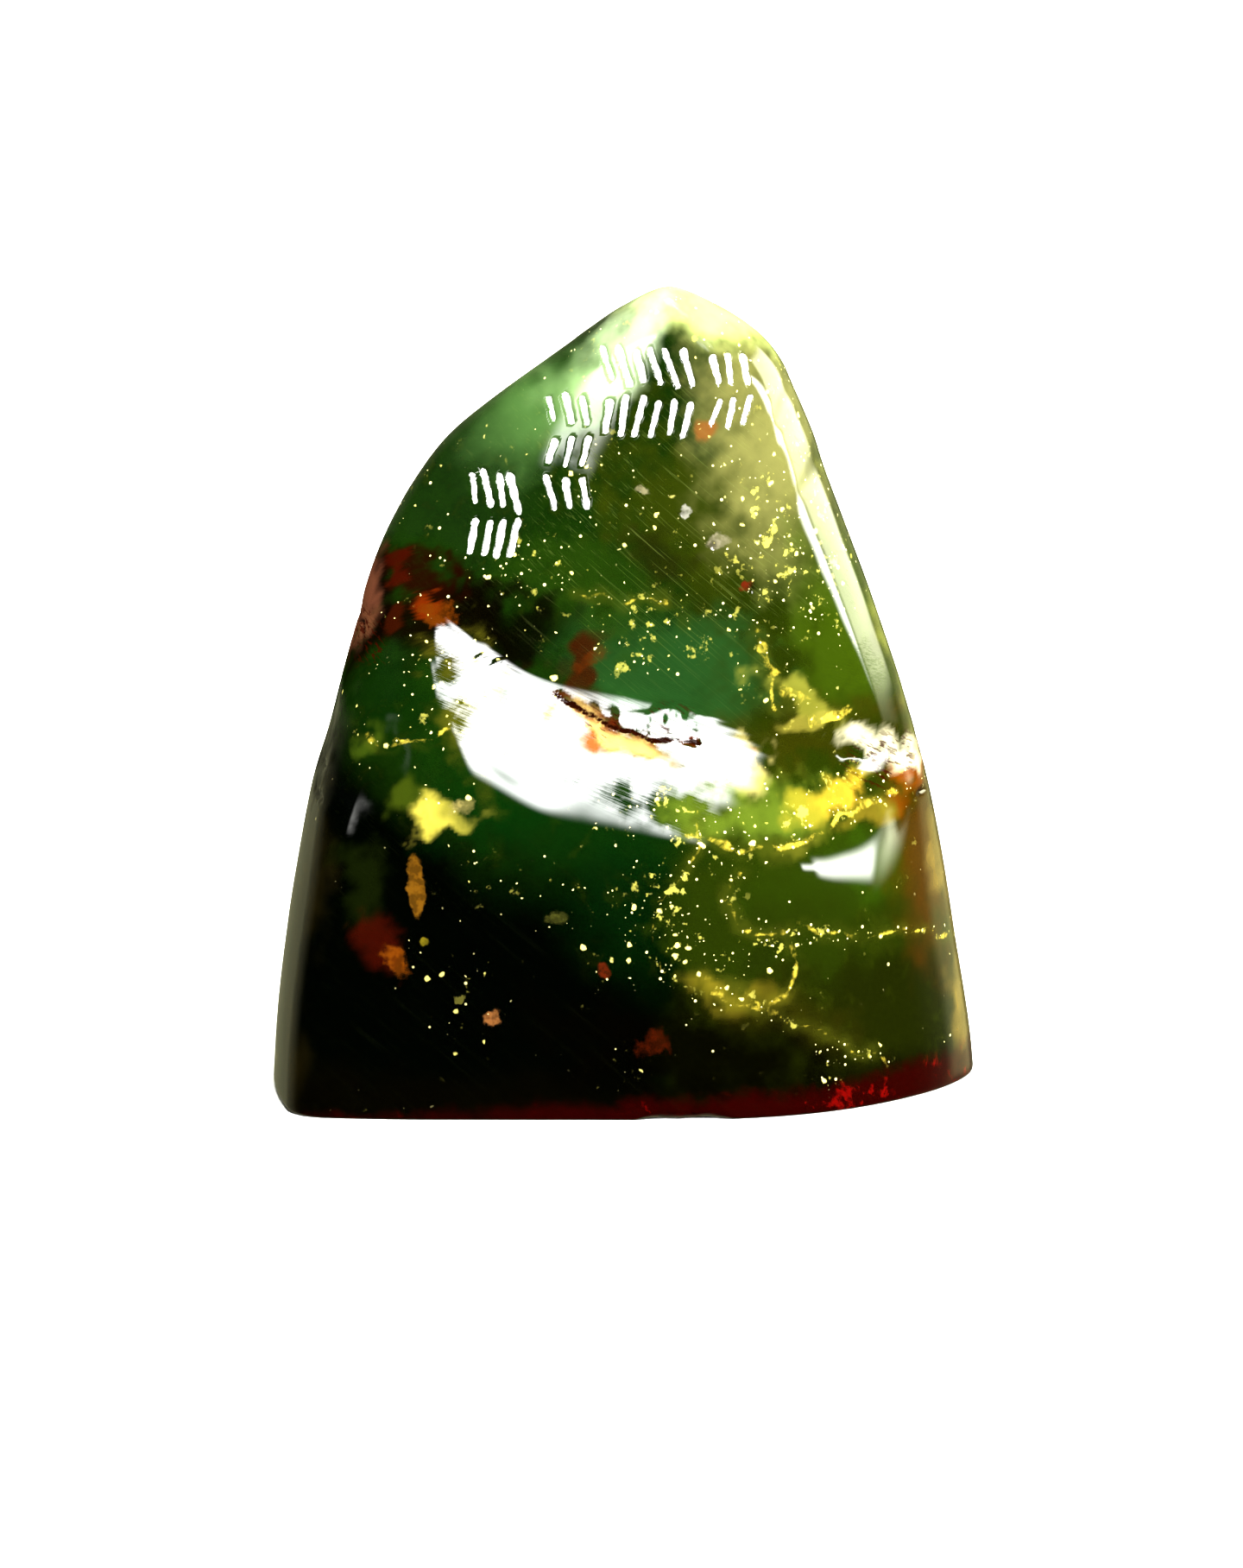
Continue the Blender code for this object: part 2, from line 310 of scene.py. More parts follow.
def plan_ring():
    """Points round a squared ellipse of half size 1, close together where they face the front."""
    t = np.linspace(0, 2 * math.pi, RING_STEPS, endpoint=False)
    ring = np.stack([np.cos(t), np.sin(t)], -1)
    ring = np.sign(ring) * np.abs(ring) ** BLOCK_POWER
    steps = np.linalg.norm(np.roll(ring, -1, 0) - ring, axis=1)
    steps *= 1 + (FRONT_WEIGHT - 1) * smooth_step(*FRONT_FACING, -ring[:, 1])
    walked = np.concatenate([[0], np.cumsum(steps)])
    wanted = np.linspace(0, walked[-1], COLUMNS, endpoint=False)
    at = np.interp(wanted, walked, np.append(t, 2 * math.pi))
    ring = np.stack([np.cos(at), np.sin(at)], -1)
    return np.sign(ring) * np.abs(ring) ** BLOCK_POWER


def find_peak():
    """The highest point of the skin."""
    across = np.linspace(*PEAK_ACROSS, PEAK_STEPS) * HALF_WIDTH
    x, y = np.meshgrid(across, np.linspace(*PEAK_DEEP, PEAK_STEPS) * HALF_THICKNESS)
    starts = np.stack([x, y, np.full_like(x, PEAK_ABOVE * HEIGHT)], -1)
    tops = cast_to_skin(starts, np.broadcast_to((0.0, 0.0, 1.0), starts.shape)).reshape(-1, 3)
    return tops[tops[:, 2].argmax()]


def row_heights(top):
    heights = [FOOT_ROUND]
    steps = np.array(ROW_STEPS) * MM
    while heights[-1] < top:
        closing = min(1.0, math.sqrt(max(top - heights[-1], 0) / (CLOSING * MM)))
        heights.append(heights[-1] + max(np.interp(heights[-1], *steps.T) * closing, LEAST_STEP * MM))
    foot = [FOOT_ROUND * share for share in FOOT_ROWS]
    return foot + [height for height in heights if height < top]


def slice_middle(z, peak):
    """The middle of the slice at a height and its half width and half depth, drawn towards the peak."""
    to_left, to_right = sides_at(z)
    x = (to_right - to_left) / 2
    front, back = front_depth(x, z), back_depth(x, z)
    near_peak = smooth_step(DRAWN_TO_PEAK * HEIGHT, peak[2], z)
    middle = np.array([x, (back - front) / 2])
    middle += (peak[:2] - middle) * near_peak
    return middle, (to_right + to_left) / 2 + MM, (front + back) / 2


def skin_rows():
    peak = find_peak()
    ring = plan_ring()
    rows = []
    for z in row_heights(peak[2] - CAP_REACH):
        middle, half_width, half_depth = slice_middle(z, peak)
        start = np.broadcast_to((*middle, z), (COLUMNS, 3))
        reach = ring * (half_width, half_depth)
        reach /= np.linalg.norm(reach, axis=1)[:, None]
        directions = np.concatenate([reach, np.zeros((COLUMNS, 1))], 1)
        low = max(FOOT_ROUND - z, 0.0)
        inset = FOOT_ROUND - math.sqrt(FOOT_ROUND**2 - low**2)
        rows.append(cast_to_skin(start, directions, inset))
    return np.array(rows), peak


SLOPE_REACH = 0.02 * MM


def skin_normals(points):
    """Which way the skin faces, from how fast the stone's rule changes along each axis."""
    slopes = []
    for axis in np.eye(3) * SLOPE_REACH:
        ahead, behind = (points + axis).T, (points - axis).T
        slopes.append(beyond_stone(*ahead) - beyond_stone(*behind))
    normals = np.stack(slopes, -1)
    return normals / np.linalg.norm(normals, axis=1)[:, None]


def hashed(cells, seed):
    """An even random number from -1 to 1 for each whole-number cell. The large numbers only scramble."""
    x, y, z = (cells[..., axis].astype(np.int64) for axis in range(3))
    mixed = (x * 73856093) ^ (y * 19349663) ^ (z * 83492791) ^ (seed * 2654435761)
    mixed = (mixed ^ (mixed >> 13)) * 1274126177
    mixed = (mixed ^ (mixed >> 16)) * 974634773
    return ((mixed ^ (mixed >> 15)) & 0xFFFFFF) / 0xFFFFFF * 2 - 1


def noise(points, size, seed):
    """Smooth noise from -1 to 1, whose lumps are about one size across."""
    scaled = points / size
    cell = np.floor(scaled)
    t = scaled - cell
    t = t * t * t * (t * (t * 6 - 15) + 10)
    total = np.zeros(len(points))
    for corner in np.ndindex(2, 2, 2):
        share = np.prod(np.where(np.array(corner) == 1, t, 1 - t), axis=1)
        total += share * hashed(cell + corner, seed)
    return total


def layered_noise(points, size, seed, layers):
    """Noise with finer and weaker noise over it. The size is in millimetres."""
    total = np.zeros(len(points))
    for layer in range(layers):
        total += noise(points, size * MM / 2**layer, seed + layer) / 2**layer
    return total


def from_front(points, reach, size, seeds, layers=1):
    """The points as (x, z), shifted about by a reach in millimetres so that outlines drawn there wander."""
    shift = np.stack([layered_noise(points, size, seed, layers) for seed in seeds], -1)
    return points[:, [0, 2]] + reach * MM * shift


# The hand polish leaves the skin slightly wavy.
WAVES = [(7.0, 0.045, 11), (2.6, 0.010, 23)]  # lump size and height in millimetres, and the seed

# Four groups of shallow cuts in rows stand on the upper face. Each is (middle x, middle z, width, height,
# rows, cuts in a row), in millimetres as seen from the front. All cuts in a row lie side by side.
CUT_GROUPS = [
    (6.0, 40.6, 2.6, 4.6, 2, 3),
    (1.3, 40.5, 5.4, 5.6, 2, 6),
    (-3.2, 37.0, 2.9, 6.8, 3, 3),
    (-7.4, 33.3, 3.2, 5.0, 2, 4),
]
CUT_HALF_WIDTH = 0.21 * MM
CUT_DEPTH = 0.20 * MM
CUT_WALL = 0.10 * MM
CUT_ROW_GAP = 0.22  # millimetres left between two rows
CUT_LEAN = 0.22  # radians, to one side in one row and to the other in the next
CUT_LEAN_STRAY = (0.08, 0.10)  # for a row and for a cut
CUT_STRAY = (0.05, 0.10)  # millimetres across and up
CUT_LENGTHS = (0.72, 1.0)
CUT_WIDTHS = (0.85, 1.15)
CUT_TAPER = 0.2  # share of its width that a cut loses to its lower end
CUT_RAGGED, CUT_RAGGED_SIZE = 0.05, 0.35  # millimetres
CUT_SEED, CUT_RAGGED_SEED = 7, 31
FAR_AWAY = 1.0  # a distance beyond any mark


def cut_lines():
    """The two ends and the half width of each cut, as (x, z) in metres."""
    chance = np.random.default_rng(CUT_SEED)
    lines = []

    def stray(reach):
        return chance.uniform(-reach, reach)

    for x, z, width, height, rows, count in CUT_GROUPS:
        pitch = height / rows
        for row in range(rows):
            tilt = CUT_LEAN * (1 if row % 2 else -1) + stray(CUT_LEAN_STRAY[0])
            for number in range(count):
                middle_x = x + width * ((number + 0.5) / count - 0.5) + stray(CUT_STRAY[0])
                middle_z = z + height / 2 - pitch * (row + 0.5) + stray(CUT_STRAY[1])
                lean = tilt + stray(CUT_LEAN_STRAY[1])
                half = (pitch / 2 - CUT_ROW_GAP) * chance.uniform(*CUT_LENGTHS) - CUT_HALF_WIDTH / MM / 2
                along = np.array([math.sin(lean), math.cos(lean)]) * half
                middle = np.array([middle_x, middle_z])
                thickness = CUT_HALF_WIDTH * chance.uniform(*CUT_WIDTHS)
                lines.append(((middle + along) * MM, (middle - along) * MM, thickness))
    return lines


def distance_to_line(flat, start, end):
    along = end - start
    t = np.clip(((flat - start) @ along) / (along @ along), 0, 1)
    return np.linalg.norm(flat - start - t[:, None] * along, axis=1), t


def cut_distance(points):
    """How far each point of the front lies outside the nearest cut, seen from the front."""
    flat = points[:, [0, 2]]
    distance = np.full(len(points), FAR_AWAY)
    for start, end, thickness in cut_lines():
        away, t = distance_to_line(flat, start, end)
        distance = np.minimum(distance, away - thickness * (1 - CUT_TAPER * t))
    ragged = CUT_RAGGED * MM * layered_noise(points, CUT_RAGGED_SIZE, CUT_RAGGED_SEED, 2)
    return np.where(points[:, 1] < 0, distance + ragged, FAR_AWAY)


# Cracks run along the foot of the upper face. Points are (x, z) in millimetres, then width and depth.
CRACKS = [
    (
        [(-3.9, 23.5), (-2.6, 22.9), (-1.1, 22.1), (0.3, 21.7), (1.5, 21.2), (3.0, 21.15), (4.2, 20.9)],
        0.20,
        0.10,
    ),
    ([(-8.3, 25.8), (-7.7, 25.45), (-7.1, 25.35), (-6.6, 25.1)], 0.08, 0.14),
    ([(-15.6, 27.9), (-14.9, 26.9), (-14.8, 25.8)], 0.12, 0.22),
]


def crack_distance(points):
    """How deep the cracks are at each point, and how near the first and largest one is."""
    flat = from_front(points, 0.14, 0.8, (41, 44), 2)
    depth = np.zeros(len(points))
    nearest = np.full(len(points), FAR_AWAY)
    for number, (line, width, deep) in enumerate(CRACKS):
        line = np.array(line) * MM
        for start, end in zip(line, line[1:]):
            away, _ = distance_to_line(flat, start, end)
            depth = np.maximum(depth, deep * MM * smooth_step(width * MM, 0.0, away))
            if number == 0:
                nearest = np.minimum(nearest, away)
    front = points[:, 1] < 0
    return depth * front, np.where(front, nearest, FAR_AWAY)


# Small pits are left where grains fell out: (x, z, radius, depth) in millimetres on the front.
PITS = [
    (7.2, 29.4, 0.34, 0.10),
    (5.0, 32.0, 0.42, 0.12),
    (3.3, 33.8, 0.30, 0.08),
    (0.8, 35.0, 0.26, 0.06),
    (-17.3, 17.6, 0.30, 0.18),
    (-17.0, 19.2, 0.18, 0.10),
    (16.9, 16.8, 0.34, 0.20),
    (-1.1, 8.6, 0.22, 0.05),
    (1.6, 4.4, 0.36, 0.06),
    (11.6, 38.2, 0.2, 0.10),
]
PIT_FLOOR = 0.2  # share of a pit's radius that is its flat floor


def pit_depth(points):
    flat = from_front(points, 0.12, 0.4, (51, 53))
    depth = np.zeros(len(points))
    for x, z, radius, deep in PITS:
        away = np.linalg.norm(flat - np.array([x, z]) * MM, axis=1)
        depth = np.maximum(depth, deep * MM * smooth_step(radius * MM, PIT_FLOOR * radius * MM, away))
    return depth * (points[:, 1] < 0)


# Where the stone is left unpolished: (x, z, half width, half height, roughness height) in millimetres.
ROUGH_PATCHES = [
    (14.8, 19.0, 2.5, 1.8, 0.06),
    (0.2, 22.2, 4.6, 0.9, 0.13),
    (-14.6, 26.6, 1.2, 1.6, 0.08),
]
ROUGH_EDGE = (1.15, 0.55)  # shares of a patch's size at which its roughness starts and is whole
ROUGH_BACK = 2.0  # how far behind the middle plane a patch may reach, in millimetres
CHIP = (3.4, 2.7, 0.62, 0.75)  # on the front foot: middle x, half length, height and depth, in millimetres
CHIP_RAGGED, CHIP_RAGGED_SIZE, CHIP_SEED = 0.35, 0.8, 71


def rough_share(points):
    """Where the skin is rough, from 0 to 1, and how high its roughness is."""
    flat = from_front(points, 0.5, 1.2, (61, 63))
    share = np.zeros(len(points))
    height = np.zeros(len(points))
    for x, z, half_width, half_height, rough in ROUGH_PATCHES:
        away = np.hypot((flat[:, 0] / MM - x) / half_width, (flat[:, 1] / MM - z) / half_height)
        here = smooth_step(*ROUGH_EDGE, away) * (points[:, 1] < ROUGH_BACK * MM)
        share = np.maximum(share, here)
        height = np.maximum(height, here * rough * MM)
    return share, height


def chip_depth(points):
    x, half_length, height, deep = CHIP
    along = (points[:, 0] / MM - x) / half_length
    ragged = 1 + CHIP_RAGGED * layered_noise(points, CHIP_RAGGED_SIZE, CHIP_SEED, 1)
    edge = height * np.sqrt(np.maximum(1 - along**2, 0)) * ragged
    inside = np.clip((edge - points[:, 2] / MM) / height, 0, 1) * (points[:, 1] < 0)
    return deep * MM * inside


# Healed cracks show as light veins: points as (x, z) and the half width, in millimetres.
VEINS = [
    ([(7.6, 26.8), (8.0, 25.3), (8.6, 24.4), (9.3, 23.5), (10.1, 22.9), (10.7, 21.6)], 0.30),
    ([(8.6, 24.6), (8.3, 23.6), (8.5, 22.7)], 0.12),
    ([(9.7, 22.7), (11.2, 21.8), (13.0, 22.2)], 0.26),
    ([(6.6, 14.2), (5.8, 12.6), (6.6, 11.0), (8.4, 10.4), (9.9, 10.8), (10.9, 10.4)], 0.10),
    ([(10.9, 10.4), (12.6, 9.9), (14.4, 9.9), (16.3, 9.6), (18.0, 8.6), (19.8, 7.2)], 0.09),
    ([(4.3, 17.2), (4.1, 15.4), (3.0, 13.6), (1.8, 12.4), (1.5, 10.6), (2.2, 8.6)], 0.08),
    ([(3.6, 16.3), (6.4, 15.4), (9.0, 15.2), (11.4, 15.8), (13.4, 16.8), (15.6, 17.3)], 0.16),
    ([(4.6, 8.4), (7.0, 7.3), (9.2, 5.6), (12.4, 4.0), (14.6, 2.6), (15.8, 1.2)], 0.06),
    ([(-15.2, 21.8), (-13.6, 21.2), (-11.6, 21.5), (-9.8, 22.1)], 0.10),
    ([(-2.6, 29.4), (-0.4, 28.9), (2.2, 29.0)], 0.06),
    ([(9.3, 9.9), (9.9, 8.4), (9.1, 6.9), (8.2, 6.4), (6.2, 6.7), (4.9, 7.4)], 0.14),
]


VEIN_NONE = 5 * MM  # the distance given where no vein is near
VEIN_BACK = 0.004  # veins end this far behind the middle plane


def vein_distance(points):
    flat = from_front(points, 0.30, 1.1, (91, 93))
    nearest = np.full(len(points), VEIN_NONE)
    for line, half_width in VEINS:
        line = np.array(line) * MM
        for start, end in zip(line, line[1:]):
            away, _ = distance_to_line(flat, start, end)
            nearest = np.minimum(nearest, away - half_width * MM)
    return np.where(points[:, 1] < VEIN_BACK, nearest, VEIN_NONE)


BODY_SHADE = (0.215, 0.215, 0.195)  # how much of each colour comes back out of the dark body of the stone


def tone(red, green, blue):
    """A colour from its usual 0 to 255 numbers, above 255 for what shines through the dark body and for painted
    highlights.
    """
    shares = (value / 255 for value in (red, green, blue))
    return (*[s / 12.92 if s <= 0.04045 else ((s + 0.055) / 1.055) ** 2.4 for s in shares], 1.0)


# The teal green is a painted sheen: the grey-green haze of reflection just above the crack, laid in as colour.
DEEP_GREEN, TEAL_SHEEN, NIGHT_GREEN = tone(38, 76, 12), tone(66, 124, 60), tone(2, 6, 2)
FOREST, OLIVE, PALE_OLIVE, BARK = tone(3, 43, 5), tone(62, 80, 7), tone(158, 162, 50), tone(84, 98, 14)
DARK_OLIVE, HONEY, CREAM, GOLD = tone(42, 46, 3), tone(212, 204, 100), tone(246, 236, 168), tone(206, 186, 72)
OX_BROWN, SALMON, GRAIN_GOLD, BLACK = tone(24, 8, 2), tone(205, 130, 100), tone(246, 234, 136), tone(0, 0, 0)
PASTE_DARK, PASTE_BRIGHT, PAINT = tone(74, 2, 2), tone(196, 18, 12), tone(252, 252, 248)

# Clouds in the stone as seen from the front, and among them painted highlights, sheen and glow laid in as
# colour: middle x and z, half width and height, degrees that the right end hangs, how ragged, how soft, share
# and colour. Lengths are in millimetres.
CLOUDS_AND_PAINTED_LIGHT = [
    # painted sheen: grey-green reflected haze over the face just above the crack
    (2.5, 24.8, 5.2, 3.0, 6, 0.5, 0.55, 0.85, TEAL_SHEEN),
    # painted sheen: the pale green haze of reflection down the polished slope to the left shoulder
    (-5.2, 38.9, 3.6, 1.8, -40, 0.15, 0.98, 0.85, tone(140, 196, 112)),
    (-2.0, 16.6, 6.0, 1.8, 6, 0.4, 0.80, 0.55, tone(6, 66, 14)),
    (-2.0, 29.6, 4.5, 2.6, 10, 0.6, 0.6, 0.6, tone(66, 104, 20)),
    (3.0, 34.0, 5.5, 3.6, 38, 0.7, 0.6, 0.85, BARK),
    (1.8, 31.5, 2.2, 1.5, 30, 0.8, 0.5, 0.5, tone(34, 30, 10)),
    (8.0, 36.8, 2.8, 5.4, -14, 0.4, 0.85, 0.70, tone(236, 232, 148)),
    (4.8, 38.3, 0.5, 0.4, 50, 0.9, 0.5, 0.6, tone(230, 130, 60)),
    (12.0, 26.5, 2.4, 5.5, -14, 0.4, 0.6, 0.8, tone(98, 128, 20)),
    (11.5, 21.2, 4.0, 1.6, 4, 0.7, 0.5, 0.7, tone(84, 82, 8)),
    (7.3, 19.2, 0.9, 1.2, 0, 0.8, 0.6, 0.85, tone(320, 300, 200)),
    (7.2, 20.1, 0.6, 0.4, 0, 0.9, 0.5, 0.85, tone(200, 110, 90)),
    (9.9, 23.3, 2.4, 0.5, 34, 0.8, 0.5, 0.6, tone(250, 246, 110)),
    (10.7, 22.0, 1.6, 0.3, -6, 0.8, 0.5, 0.6, tone(250, 236, 110)),
    (11.6, 17.4, 1.9, 0.9, 6, 0.8, 0.6, 0.95, tone(350, 288, 100)),
    (13.6, 16.2, 1.4, 0.5, -20, 1.1, 0.5, 0.5, tone(230, 200, 70)),
    (8.2, 17.4, 4.5, 1.4, 2, 0.6, 0.6, 0.75, tone(160, 188, 66)),
    (12.0, 13.4, 6.0, 1.8, -4, 0.6, 0.6, 0.75, tone(76, 112, 14)),
    (9.8, 15.4, 1.6, 0.5, -12, 0.7, 0.6, 0.6, tone(170, 170, 60)),
    (16.6, 17.8, 0.9, 1.3, 0, 0.9, 0.5, 0.9, tone(250, 130, 14)),
    (17.0, 14.0, 1.5, 5.2, -7, 0.4, 0.8, 0.85, tone(124, 78, 4)),
    (6.3, 7.4, 2.3, 0.6, 14, 0.6, 0.7, 0.9, tone(226, 206, 66)),
    (9.0, 5.8, 4.0, 1.3, 28, 0.5, 0.8, 0.6, tone(84, 80, 12)),
    (4.6, 3.2, 8.0, 2.6, 14, 0.6, 0.7, 0.92, tone(7, 5, 1)),
    (8.6, 8.9, 0.8, 1.1, 20, 0.6, 0.5, 0.9, tone(26, 24, 4)),
    (0.2, 12.4, 2.4, 2.4, 0, 0.7, 0.6, 0.4, tone(8, 56, 14)),
    (7.6, 11.6, 5.6, 4.0, -6, 0.25, 0.10, 0.75, tone(62, 82, 8)),
    (-14.3, 27.6, 1.2, 3.0, 18, 0.5, 0.6, 0.95, OX_BROWN),
    # painted light: a pale glow along the crest, standing in for its highlight and the light through its thin
    # top
    (4.9, 44.7, 4.6, 1.2, 16, 0.4, 0.95, 0.85, tone(330, 348, 226)),
    # painted highlight: the white band down the ridge between the slope and the upper face, in two pieces
    (0.2, 43.4, 1.4, 3.2, 38, 0.3, 0.9, 0.9, tone(320, 350, 290)),
    (-2.4, 40.6, 1.3, 2.6, 30, 0.15, 0.98, 0.75, tone(250, 300, 215)),
    (-19.0, 9.0, 1.1, 9.0, 6, 0.3, 0.9, 0.7, tone(74, 62, 22)),
    # painted glow: light shining through the thin right edge, laid in as warm yellow colour, low down and
    # higher up
    (19.4, 8.0, 0.9, 8.5, -7, 0.3, 0.7, 0.65, tone(240, 204, 100)),
    (15.0, 28.5, 0.7, 12.0, -17, 0.3, 0.8, 0.7, tone(230, 236, 110)),
    (-10.6, 27.8, 4.2, 2.2, 12, 0.7, 0.6, 0.95, OX_BROWN),
    (-6.5, 27.3, 3.2, 1.5, 14, 0.8, 0.6, 0.85, tone(14, 12, 2)),
    (-11.6, 30.0, 1.5, 1.1, 20, 1.1, 0.5, 0.9, tone(52, 15, 3)),
    (-12.9, 28.4, 0.5, 1.2, 0, 1.1, 0.4, 0.6, tone(100, 36, 8)),
    (-12.3, 30.2, 1.0, 0.5, 40, 1.6, 0.3, 0.7, tone(104, 26, 6)),
    (-11.4, 28.9, 0.5, 0.9, 10, 1.5, 0.3, 0.8, tone(170, 66, 8)),
    (-15.1, 28.0, 0.6, 2.6, 18, 0.5, 0.6, 0.6, SALMON),
    (-2.3, 25.1, 2.7, 0.55, -46, 0.3, 0.4, 0.9, tone(96, 40, 8)),
    (-1.0, 23.0, 3.2, 0.9, 20, 0.9, 0.5, 0.7, tone(80, 56, 20)),
    (-0.8, 21.6, 3.2, 0.75, 20, 0.3, 0.6, 0.85, tone(350, 292, 190)),
    (-1.2, 21.2, 2.3, 0.30, 18, 0.4, 0.5, 0.9, tone(230, 130, 66)),
    # painted highlight: the white shine on the crinkled rough patch at the right end of the ledge
    (14.7, 19.5, 2.3, 1.0, 26, 0.9, 0.4, 0.85, tone(350, 340, 300)),
    (-9.0, 22.4, 1.4, 3.0, -10, 1.0, 0.5, 0.7, tone(150, 146, 44)),
    (-12.6, 23.4, 2.2, 1.8, 0, 0.6, 0.6, 0.6, tone(14, 60, 8)),
    (-14.4, 21.6, 1.2, 0.5, -8, 0.6, 0.5, 0.8, tone(104, 130, 34)),
    (-12.9, 17.7, 1.1, 0.65, -8, 0.6, 0.5, 0.85, tone(104, 124, 30)),
    (-10.2, 17.4, 1.6, 0.75, -16, 0.8, 0.4, 0.95, tone(336, 316, 146)),
    (-8.0, 19.0, 2.6, 2.8, 0, 0.5, 0.8, 0.7, tone(10, 70, 12)),
    (-14.6, 14.0, 1.3, 1.9, 0, 1.0, 0.7, 0.6, tone(42, 56, 12)),
    (-13.9, 10.5, 1.6, 1.2, 40, 1.0, 0.5, 0.9, tone(92, 22, 6)),
]
# Where golden flecks crowd, in the same front view: middle x and z, half width and height, hang, share.
FLECK_CROWDS = [
    (9.4, 33.0, 3.6, 6.5, -12, 1.0),
    (9.4, 39.4, 2.2, 2.2, -20, 0.8),
    (-5.6, 30.4, 3.2, 2.2, 10, 0.8),
    (2.6, 27.2, 6.0, 2.4, 6, 0.7),
    (-9.6, 23.4, 2.6, 3.4, -8, 0.7),
    (5.0, 17.3, 5.0, 2.2, 4, 0.9),
    (2.6, 11.6, 2.2, 4.2, 0, 1.0),
    (7.8, 9.4, 3.4, 1.8, 0, 0.9),
    (12.2, 17.6, 4.0, 1.4, -6, 0.8),
    (0.6, 35.0, 5.5, 2.4, 36, 0.5),
    (-4.0, 12.8, 5.0, 2.0, 0, 0.4),
    (11.4, 2.8, 1.4, 1.0, 0, 0.8),
    (4.0, 44.0, 5.0, 1.5, 0, 0.6),
]


def ragged_ellipse(flat, raggedness, x, z, half_width, half_height, hang, ragged, soft):
    """1 inside a ragged spot on the front and 0 outside it; flat is in millimetres."""
    turn = math.radians(hang)
    right = (flat[:, 0] - x) * math.cos(turn) - (flat[:, 1] - z) * math.sin(turn)
    up = (flat[:, 0] - x) * math.sin(turn) + (flat[:, 1] - z) * math.cos(turn)
    away = np.hypot(right / half_width, up / half_height) + ragged * raggedness
    return smooth_step(1 + soft, 1 - soft, away)


# Where fine scratches cross the face and where the ledge is brushed, given as the clouds' shapes are.
SCRATCHED = [(2.5, 33.0, 8.0, 7.0, 30, 0.4, 0.8)]
BRUSHED = [
    (-2.0, 24.0, 11.0, 2.0, 18, 0.5, 0.7),
    (-9.8, 22.3, 1.8, 4.0, -6, 0.5, 0.6),
    (0.5, 18.2, 5.0, 1.0, 10, 0.5, 0.8),
    (13.2, 24.5, 1.4, 1.2, 30, 0.5, 0.7),
    (1.8, 22.6, 2.8, 0.8, 20, 0.5, 0.6),
]
# Where the polish is gone: on the stained left edge, along the crack and where the shine breaks up
DULL = [
    (-12.4, 29.4, 3.0, 2.8, 10, 0.3, 0.3),
    (-15.0, 26.0, 2.2, 3.6, 6, 0.3, 0.4),
    (-13.8, 19.0, 3.0, 5.6, 4, 0.3, 0.5),
    (-0.4, 21.6, 3.6, 0.70, 18, 0.4, 0.4),
    (4.6, 43.8, 2.6, 1.4, 16, 0.4, 0.9),
    (-10.1, 21.6, 1.0, 3.8, -10, 1.2, 0.6),
    (4.6, 17.4, 4.2, 1.0, 8, 0.9, 0.9),
    (15.9, 17.2, 1.2, 1.5, 0, 0.4, 0.4),
    (-15.7, 15.2, 1.3, 4.2, 0, 0.3, 0.4),
    (-3.3, 35.0, 1.4, 1.8, 0, 0.4, 0.5),
]


FRONT_ENDS = (0.004, -0.001)  # how far behind the middle plane the front's marks end and start to fade
CLOUD_RAGGED, CLOUD_RAGGED_SIZE, CLOUD_SEED = 0.7, 1.1, 141
CROWD_EDGE = (0.4, 0.6)  # how ragged and how soft


def clouds_and_painted_light(points):
    """The colour of the clouds and of the painted highlights, sheen and glow at each point times what they
    cover, with that share last, and the other marks.
    """
    bend = from_front(points, 0.9, 3.0, (101, 111), 3)
    shake = from_front(points, 0.16, 0.9, (121, 131), 3)
    flat = (bend + shake - points[:, [0, 2]]) / MM
    raggedness = CLOUD_RAGGED * layered_noise(points, CLOUD_RAGGED_SIZE, CLOUD_SEED, 4)
    front = smooth_step(*FRONT_ENDS, points[:, 1])
    colours = np.zeros((len(points), 4))
    for *shape, share, colour in CLOUDS_AND_PAINTED_LIGHT:
        cover = (ragged_ellipse(flat, raggedness, *shape) * front * share)[:, None]
        colours = colours * (1 - cover) + np.array((*colour[:3], 1.0)) * cover
    crowd = np.zeros(len(points))
    for *shape, share in FLECK_CROWDS:
        crowd = np.maximum(crowd, ragged_ellipse(flat, raggedness, *shape, *CROWD_EDGE) * front * share)
    marked = {"cloud_and_painted_light": colours, "crowd": crowd}
    for name, shapes in (("scratched", SCRATCHED), ("brushed", BRUSHED), ("dull", DULL)):
        marked[name] = np.max([ragged_ellipse(flat, raggedness, *shape) for shape in shapes], 0) * front
    return marked


FLAKE_SIZE, FLAKE_SEED = 1.3, 81  # of the flakes that a rough patch is made of, in millimetres
WHOLLY_DARK = 0.15  # a hollow this deep, in millimetres, is as dark as its red-brown stain and painted shade get
CHIP_DARKENS = 0.6


def relief(points):
    """How far the skin is sunk at each point, and the marks that its finish reads."""
    sunk = np.zeros(len(points))
    for size, height, seed in WAVES:
        sunk += height * MM * layered_noise(points, size, seed, 1)
    cuts = cut_distance(points)
    sunk += CUT_DEPTH * smooth_step(0.0, -CUT_WALL, cuts)
    cracks, nearest = crack_distance(points)
    pits = pit_depth(points)
    rough, rough_height = rough_share(points)
    flakes = layered_noise(points, FLAKE_SIZE, FLAKE_SEED, 4)
    sunk += rough_height * (1 + np.abs(flakes)) / 2
    chips = chip_depth(points)
    sunk += np.maximum(np.maximum(cracks, pits), chips)
    # how dark a hollow is, from its depth: red-brown stain and painted shade together
    hollow_stain_and_shade = np.clip((cracks + pits + CHIP_DARKENS * chips) / (WHOLLY_DARK * MM), 0, 1)
    marks = {"cut": cuts / MM, "vein": vein_distance(points) / MM, "crack": nearest / MM}
    return sunk, {**marks, "rough": rough, "hollow_stain_and_shade": hollow_stain_and_shade, **clouds_and_painted_light(points)}


